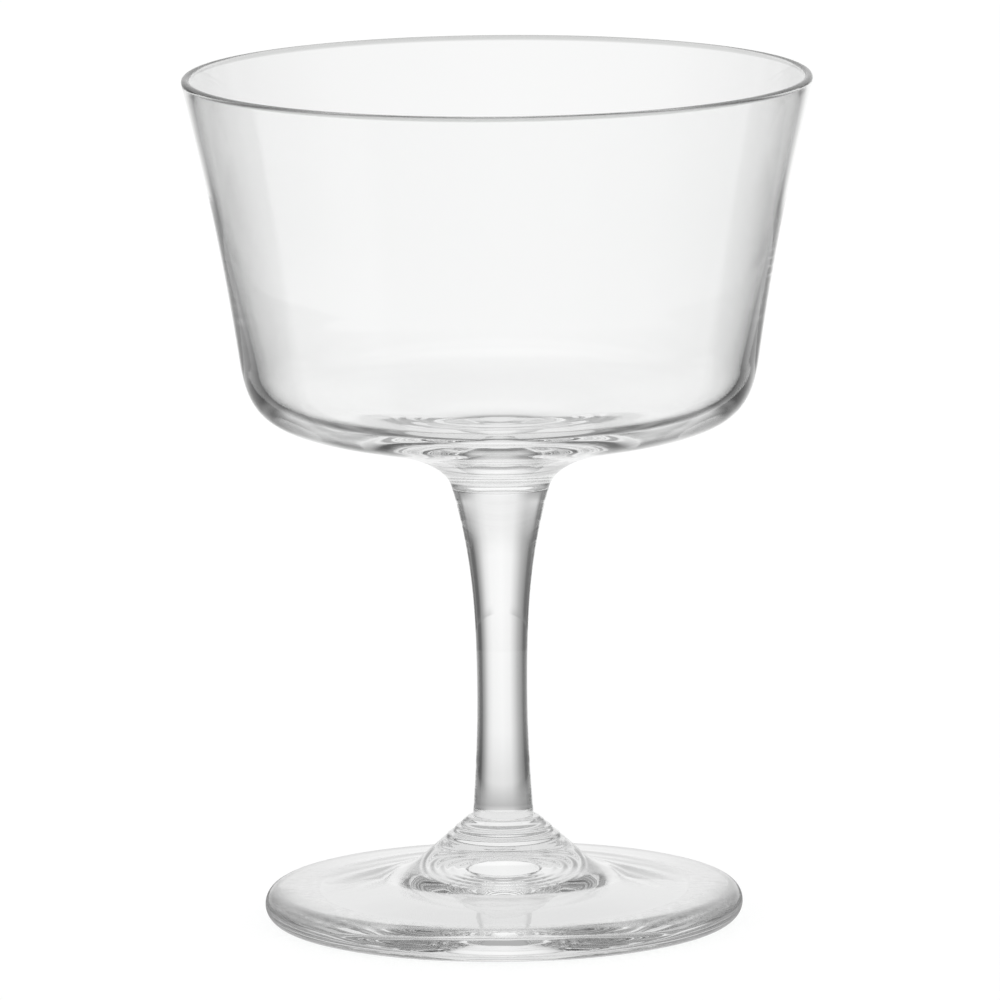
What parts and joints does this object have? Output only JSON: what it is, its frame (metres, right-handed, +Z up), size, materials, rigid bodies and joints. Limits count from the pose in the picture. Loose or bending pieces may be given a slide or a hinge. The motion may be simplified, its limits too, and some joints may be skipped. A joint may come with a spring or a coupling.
{
  "type": "cocktail glass",
  "caption": "Clear stemmed cocktail glass: wide, slightly flared straight-sided bowl with rounded corners on a short flared stem and a thick round foot, for mixed drinks served without ice.",
  "frame": {"origin": "on the table, under the middle of the foot", "axes": "+Z up along the stem, from the foot to the lip; the glass is round, so +X and +Y are free"},
  "size_m": [0.092, 0.092, 0.125],
  "materials": {
    "clear_glass": "clear, fire-polished gloss"
  },
  "bodies": {
    "root": {"bowl": "clear_glass", "stem": "clear_glass", "foot": "clear_glass"}
  },
  "joints": []
}
